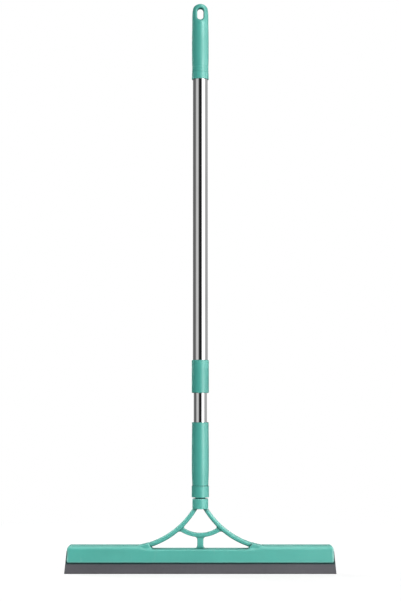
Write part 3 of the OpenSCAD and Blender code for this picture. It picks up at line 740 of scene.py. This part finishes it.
def zinc_plate(rgb):
    """Bright zinc on screws and pins, duller in patches and brushed by the driver."""
    f = Finish("Zinc plate")
    patch = f.span(f.noise(420, 4), 0.35, 0.7)
    f.paint(tone(rgb, 1.1), (patch, tone(rgb, 0.8)))
    f.to("Metallic", 1.0)
    f.to("Roughness", f.span(patch, 0, 1, 0.24, 0.42))
    f.bump((f.noise(1500, 3, (1, 1, 0.2)), 0.15, 0.00004))
    return f.material


MAKERS = {
    "mint": mint_plastic, "steel": polished_steel, "rubber": blade_rubber, "lock": lock_plastic,
    "zinc": zinc_plate}
FINISHES = {}


def finish(name):
    """One of the object's finishes, made when it is first asked for."""
    if name not in FINISHES:
        FINISHES[name] = MAKERS[name](tuple(getattr(bpy.context.scene.squeegee_colours, name)))
    return FINISHES[name]


def bare_material(name):
    """A material for the stage, its nodes and the socket that takes its surface."""
    material = bpy.data.materials.new(name)
    material.use_nodes = True
    nodes = material.node_tree.nodes
    nodes.clear()
    return material, Nodes(material.node_tree), nodes.new("ShaderNodeOutputMaterial").inputs["Surface"]


def left_out(light):
    """The collection of pieces that a kind of light leaves out."""
    name = "Left out by the " + light
    return bpy.data.collections.get(name) or bpy.data.collections.new(name)


def leave_out(made, *lights):
    """Keeps kinds of light off a piece."""
    for light in lights:
        left_out(light).objects.link(made)
        left_out(light).collection_objects[-1].light_linking.link_state = "EXCLUDE"


# The lamps: setting with the power, place, width and height, and what the lamp gives.
LAMPS = (
    ("key", (2.5, -4.9, 1.1), (2.0, 3.2), "matt"),
    ("sheen", (3.6, -4.2, 1.1), (2.0, 3.2), "gloss"),
    ("fill", (-4.2, -2.6, 0.8), (1.6, 3.0), "matt"),
    ("rim", (-1.8, 1.26, 0.8), (0.8, 1.8), "matt"),
    ("side", (2.7, 0.2, 0.6), (1.4, 2.6), "gloss"),
    ("low", (2.1, -2.5, 0.12), (0.8, 0.5), "gloss"),
    ("high", (1.4, -2.3, 2.8), (1.6, 1.2), "gloss"),
    ("back", (0.8, 2.9, 1.2), (1.2, 2.0), "matt"),
    ("top", (0.2, -0.3, 2.6), (2.4, 1.6), "matt"))
LAMP_AIM = Vector((0, 0, 0.4))

# Strength of the light wall at each bearing in degrees; bearing 0 is towards the camera.
WALL_LIGHT = (
    (-180, 0.1), (-168, 0.12), (-150, 0.3), (-135, 0.2), (-102, 0.14), (-79, 0.14), (-69, 0.54),
    (-61, 0.62), (-44, 0.72), (-34, 0.6), (-26, 0.3), (-18, 0.045), (-11, 0.012), (12, 0.012),
    (18, 0.1), (21, 0.3), (24, 0.7), (30, 1.2), (34, 2.0), (38, 4.5), (56, 4.5), (60, 2.2),
    (64, 1.0), (80, 0.66), (90, 0.54), (113, 0.4), (130, 0.4), (150, 0.5), (168, 0.3), (180, 0.1))


class SQUEEGEE_OT_stage(bpy.types.Operator):
    """Camera, floor, soft lamps and the panels that the polished tubes mirror"""
    bl_idname = "squeegee.stage"
    bl_label = "Stage"

    def execute(self, context):
        setup = context.scene.squeegee_stage
        context.scene.view_settings.view_transform = "Standard"
        self.camera(context, setup)
        self.floor()
        self.world(context, setup)
        for key, place, size, gives in LAMPS:
            self.lamp(key.capitalize() + " lamp", getattr(setup, key), place, size, gives)
        self.light_wall()
        self.softbox()
        return {"FINISHED"}

    @staticmethod
    def camera(context, setup, sensor=36):
        """The camera, level from side to side."""
        data = bpy.data.cameras.new("Camera")
        data.sensor_width = sensor
        data.lens = setup.camera_lens
        made = placed("Camera", data)
        made.location = (setup.camera_side, -setup.camera_back, setup.camera_height)
        made.rotation_euler = (math.pi / 2 + setup.camera_tilt, 0, 0)
        context.scene.camera = made

    @staticmethod
    def seen(nodes, mirrored):
        """1 for rays from the camera, the given level for rays from mirrors, 0 for the rest."""
        mirror, camera = (nodes.add("LightPath", out=ray) for ray in ("Is Glossy Ray", "Is Camera Ray"))
        return nodes.maths("MULTIPLY_ADD", mirror, mirrored, camera)

    def floor(self, radius=30, drop=0.0002, near=0.3, far=1.1, mirrored=0.5):
        """A pale floor that takes the shadow near the object and turns plain white farther off."""
        mesh = bpy.data.meshes.new("Floor")
        work = bmesh.new()
        bmesh.ops.create_circle(work, cap_ends=True, segments=96, radius=radius)
        work.to_mesh(mesh)
        work.free()
        made = placed("Floor", mesh)
        made.location.z = -drop
        material, nodes, surface = bare_material("White floor")
        away = nodes.add("VectorMath", [nodes.add("TexCoord", out="Object")], "Value", operation="LENGTH")
        shine = nodes.maths("MULTIPLY", nodes.span(away, near, far, 0.84, 1.0), self.seen(nodes, mirrored))
        matt = nodes.add("BsdfDiffuse", {"Color": nodes.span(away, near, far, 0.3, 0.0)})
        nodes.set(surface, nodes.add("AddShader", [matt, nodes.add("Emission", {"Strength": shine})]))
        mesh.materials.append(material)

    def world(self, context, setup, mirrored=1.0):
        """White for the camera and for mirrors, and a faint light on the rest."""
        world = bpy.data.worlds.new("White studio")
        world.use_nodes = True
        nodes = Nodes(world.node_tree)
        backdrop = nodes.tree.nodes["Background"].inputs
        nodes.set(backdrop["Strength"], nodes.span(self.seen(nodes, mirrored), 0, 1, setup.ambient, 1.0))
        nodes.set(backdrop["Color"], (1, 1, 1, 1))
        context.scene.world = world

    @staticmethod
    def lamp(name, watts, place, size, gives):
        """An area lamp that gives matt light or gloss; the tubes mirror the light wall alone."""
        data = bpy.data.lights.new(name, "AREA")
        data.shape = "RECTANGLE"
        data.size, data.size_y = size
        data.energy = watts
        made = placed(name, data)
        made.location = place
        made.rotation_euler = (LAMP_AIM - Vector(place)).to_track_quat("-Z", "Y").to_euler()
        made.visible_glossy = gives == "gloss"
        made.visible_diffuse = gives == "matt"
        made.light_linking.receiver_collection = left_out("lamps")

    def light_wall(self, reach=2.8, low=-0.2, high=3.2, near=0.3, lift=0.001, count=180):
        """A round wall and a flat ring at its foot that the tubes mirror."""
        faces = [(2 * n, 2 * n + 1, 2 * n + 3, 2 * n + 2) for n in range(count)]
        wall, ring = ((reach, low), (reach, high)), ((near, lift), (reach, lift))
        for name, rims in (("Light wall", wall), ("Light ring", ring)):
            points, levels = [], []
            for n in range(count + 1):
                bearing = -180 + 360 * n / count
                east, north = math.sin(math.radians(bearing)), -math.cos(math.radians(bearing))
                level = float(np.interp(bearing, *zip(*WALL_LIGHT)))
                for radius, z in rims:
                    points.append((radius * east, radius * north, z))
                    levels.append(level)
            self.glowing(name, points, faces, levels)

    def softbox(self, half=0.7, front=-0.4, rear=0.5, z=0.34, level=4.6):
        """A low softbox that draws the light line along the top of the bar; the handle leaves it out."""
        corners = [(-half, front, z), (half, front, z), (half, rear, z), (-half, rear, z)]
        made = self.glowing("Head softbox", corners, [(3, 2, 1, 0)], [level] * len(corners))
        made.light_linking.receiver_collection = left_out("softbox")

    @staticmethod
    def glowing(name, points, faces, levels):
        """A panel that only mirrors show, with its strength at each point; its back is clear."""
        mesh = bpy.data.meshes.new(name)
        mesh.from_pydata(points, [], faces)
        mark(mesh, "glow", levels)
        material, nodes, surface = bare_material(name)
        back = nodes.add("NewGeometry", out="Backfacing")
        glow = nodes.add("Emission", {"Strength": nodes.mark("glow")})
        nodes.set(surface, nodes.add("MixShader", [back, glow, nodes.add("BsdfTransparent")]))
        mesh.materials.append(material)
        made = placed(name, mesh)
        made.visible_camera = made.visible_diffuse = made.visible_shadow = made.visible_transmission = False
        return made


class SQUEEGEE_OT_wishbone(bpy.types.Operator):
    """Wishbone frame with its threaded socket"""
    bl_idname = "squeegee.wishbone"
    bl_label = "Wishbone"

    def execute(self, context):
        s = in_mm("squeegee_head")
        reach, feet, deep = s.bar_half - 4, s.foot_out + 2, 14
        wide, near, fine = 4.0, 0.75, 0.7
        xs = lines(-reach, reach, wide, near, (-feet, feet), *screw_spots(s, reach=4))
        ys = np.arange(-deep, deep + 0.1, fine)
        zs = np.arange(s.bar_low + 1, s.socket_top + 1, fine)
        points, faces = skin(wishbone_field(s), xs, ys, zs)
        made = piece("wishbone", points, faces, finish("mint"), "head", "mint_plastic", "handle_frame")
        # Painted shade in the fork's joints, stored at the points for the mint material.
        mark(made.data, "stain", self.stain(s, points[:, 0], points[:, 2]))
        return {"FINISHED"}

    @staticmethod
    def stain(s, x, z):
        """Painted shade in the joints of the fork: 1 beside a leg or the brace and 0 a few millimetres off.
        """
        leg_side, brace_side = (-0.9, 0, 0.9, 3.2), (-1.2, -0.3, 2.2)
        fork_rise, fork_half, post_drop = 12, 18, 4
        from_leg = np.hypot(np.abs(x) - s.leg_x, z - s.leg_z) - s.leg_radius - s.leg_thick - s.leg_grow
        in_fork = np.abs(z - s.brace_low - fork_rise) < fork_half
        beside = np.interp(from_leg, leg_side, (0, 1, 1, 0)) * in_fork
        from_brace = np.hypot(x, z - s.brace_low - s.brace_under) - s.brace_under
        below = np.interp(from_brace, brace_side, (0, 1, 0)) * (np.abs(x) < s.post_width)
        return np.maximum(beside, below * (z > s.brace_low - post_drop))


def front_and_rear(s, field, xs, depths, zs, look, slot, pieces):
    """Two like pieces of the head, front and rear, each given by its name and its CAD node."""
    for rear, (name, node) in enumerate(pieces):
        points, faces = skin(field(s, rear), xs, depths if rear else -depths[::-1], zs)
        piece(name, points, faces, finish(look), "head", slot, node)


class SQUEEGEE_OT_covers(bpy.types.Operator):
    """Front and rear cover of the bar"""
    bl_idname = "squeegee.covers"
    bl_label = "Covers"

    def execute(self, context):
        s = in_mm("squeegee_head")
        reach, end, post_half, ear_rise = s.bar_half + 1, s.bar_half - 12, 7, 9
        ear_start, ear_end = s.ear_in - 6, s.foot_out + 8
        wide, near, deep, tall = 4.0, 0.7, 0.6, 0.65
        xs = lines(-reach, reach, wide, near, *screw_spots(s), (-post_half, post_half), (-reach, -end),
                   (-ear_end, -ear_start), (ear_start, ear_end), (end, reach))
        depths = np.arange(-near, s.bar_depth + 1, deep)
        zs = np.arange(s.bar_low - 1, s.bar_top + ear_rise, tall)
        front_and_rear(s, cover_field, xs, depths, zs, "mint", "mint_plastic", (
            ("front_shell", "front_cover"), ("rear_shell", "rear_cover")))
        return {"FINISHED"}


class SQUEEGEE_OT_blades(bpy.types.Operator):
    """Front and rear rubber blade"""
    bl_idname = "squeegee.blades"
    bl_label = "Blades"

    def execute(self, context):
        s = in_mm("squeegee_head")
        reach, end, room = s.blade_half + 1, s.blade_half - 7, 0.8
        wide, near, deep, tall, groove = 5.0, 0.7, 0.5, 0.6, 0.4
        xs = lines(-reach, reach, wide, near, *screw_spots(s), (-reach, -end), (end, reach))
        depths = np.arange(s.blade_in - room, s.blade_out + 1, deep)
        zs = lines(-room, s.blade_top + 1, tall, groove, (s.bar_low - 2, s.bar_low + 1))
        front_and_rear(s, blade_field, xs, depths, zs, "rubber", "blade_rubber", (
            ("front_strip", "front_blade"), ("rear_strip", "rear_blade")))
        return {"FINISHED"}


class SQUEEGEE_OT_turned(bpy.types.Operator):
    """Slip ring, lower sleeve and collar"""
    bl_idname = "squeegee.turned"
    bl_label = "Ring, sleeve and collar"

    def execute(self, context):
        h = in_mm("squeegee_handle")
        low, high = heights("neck_ring")
        lid, brim = high - 2, 0.35
        ring = rounded((
            (h.ring_cup, low, SLIGHT), (h.ring_radius, low, MILD), (h.ring_radius, high, brim),
            (h.bore, high, FINE), (h.bore, lid, HAIR), (h.ring_cup, lid, FINE)))
        self.make("slip_ring", ring, "ring", "neck_ring")
        low, high = heights("lower_sleeve")
        big, mouth, blur = h.sleeve_radius, 1.1, 5
        stops = (0, 0.05, 0.09, 0.15, 0.22, 0.31, 0.58, 0.7, 0.87, 1)
        swells = (-0.88, -0.8, -0.6, -0.3, -0.1, 0, 0, -0.12, -0.4, -0.4)
        shares = np.linspace(0.02, 0.985, 40)
        swell = np.pad(np.interp(shares, stops, swells), blur // 2, "edge")
        swell = np.convolve(swell, np.ones(blur) / blur, "valid")
        outside = [(big + grown, low + (high - low) * share, 0) for grown, share in zip(swell, shares)]
        sleeve = rounded((
            (h.sleeve_bore, low, FINE), (big + swells[0], low, FINE), *outside,
            (big + swells[-1], high, mouth), (h.sleeve_bore, high, SLIGHT)))
        self.make("hand_sleeve", sleeve, "lower_handle", "lower_sleeve")
        low, high = heights("collar")
        ledge, rim, crisp = low + 1.6, 1.8, 0.1
        collar = rounded((
            (h.bore, low, SLIGHT), (h.collar_radius, low, rim), (h.collar_radius, high, rim),
            (h.collar_bore, high, SLIGHT), (h.collar_bore, ledge, crisp), (h.bore, ledge, crisp)), steps=8)
        self.make("lock_collar", collar, "upper_handle", "collar")
        return {"FINISHED"}

    @staticmethod
    def make(name, outline, body, node):
        """A turned piece of mint plastic."""
        made = piece(name, *turned(outline), finish("mint"), body, "mint_plastic", node)
        leave_out(made, "softbox")


class SQUEEGEE_OT_tubes(bpy.types.Operator):
    """Inner and outer polished tube"""
    bl_idname = "squeegee.tubes"
    bl_label = "Tubes"

    def execute(self, context):
        h = in_mm("squeegee_handle")
        for name, node, radius, body in (
                ("lower_pole", "inner_tube", h.inner_radius, "lower_handle"),
                ("upper_pole", "outer_tube", h.outer_radius, "upper_handle")):
            low, high = heights(node)
            bore, rim = radius - h.tube_wall, 0.25
            corners = (bore, low, HAIR), (radius, low, rim), (radius, high, rim), (bore, high, HAIR)
            outline = rounded(corners, steps=4, support=0.3)
            made = piece(name, *turned(outline, sides=160), finish("steel"), body, "polished_tube", node)
            leave_out(made, "lamps", "softbox")
        return {"FINISHED"}


class SQUEEGEE_OT_grip(bpy.types.Operator):
    """Hand cap with the hang hole"""
    bl_idname = "squeegee.grip"
    bl_label = "Top grip"

    def execute(self, context):
        h = in_mm("squeegee_handle")
        low, high = heights("top_grip")
        start, grooves_end, tab_start, end = low - 1, low + 26, low + 82, high + 1
        reach, wide, near = 14.7, 2.5, 0.6
        side = np.arange(-reach, reach + 0.1, near)
        zs = lines(start, end, wide, near, (start, grooves_end), (tab_start, end))
        points, faces = skin(grip_field(h, low, high), side, side, zs)
        made = piece("hand_cap", points, faces, finish("mint"), "upper_handle", "mint_plastic", "top_grip")
        leave_out(made, "softbox")
        return {"FINISHED"}


class SQUEEGEE_OT_hardware(bpy.types.Operator):
    """Finishes for the screws, the pins, the threaded tip and the twist lock"""
    bl_idname = "squeegee.hardware"
    bl_label = "Screws, tip and lock"

    def execute(self, context):
        for name, nodes in (
                ("zinc", ("clamp_screws", "tip_pins", "lock_plug_pins", "spindle_clip")),
                ("mint", ("thread_tip",)),
                ("lock", ("lock_plug", "expander", "cone_nut", "guide_bush"))):
            for node in nodes:
                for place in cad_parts[node].material_slots:
                    place.material = finish(name)
        return {"FINISHED"}


class SQUEEGEE_PT_sidebar(bpy.types.Panel):
    """Sizes, colours and builders of the squeegee"""
    bl_idname = "SQUEEGEE_PT_sidebar"
    bl_label = "Floor squeegee"
    bl_space_type = "VIEW_3D"
    bl_region_type = "UI"
    bl_category = "Squeegee"

    def draw(self, context):
        for operator in OPERATORS:
            self.layout.operator(operator.bl_idname)
        for name in GROUPS:
            group = getattr(context.scene, name)
            box = self.layout.box()
            for key in group.__annotations__:
                box.prop(group, key)


GROUPS = {
    "squeegee_head": HeadSizes, "squeegee_handle": HandleSizes, "squeegee_colours": Colours,
    "squeegee_stage": StageSetup}
OPERATORS = (
    SQUEEGEE_OT_stage, SQUEEGEE_OT_wishbone, SQUEEGEE_OT_covers, SQUEEGEE_OT_blades, SQUEEGEE_OT_turned,
    SQUEEGEE_OT_tubes, SQUEEGEE_OT_grip, SQUEEGEE_OT_hardware)
CLASSES = (*GROUPS.values(), *OPERATORS, SQUEEGEE_PT_sidebar)


def register():
    for made in CLASSES:
        bpy.utils.register_class(made)
    for name, group in GROUPS.items():
        setattr(bpy.types.Scene, name, PointerProperty(type=group))


def unregister():
    for name in GROUPS:
        delattr(bpy.types.Scene, name)
    for made in reversed(CLASSES):
        bpy.utils.unregister_class(made)


def main():
    register()
    bpy.ops.squeegee.stage()
    bpy.ops.squeegee.wishbone()
    bpy.ops.squeegee.covers()
    bpy.ops.squeegee.blades()
    bpy.ops.squeegee.turned()
    bpy.ops.squeegee.tubes()
    bpy.ops.squeegee.grip()
    bpy.ops.squeegee.hardware()


if __name__ == "__main__":
    main()
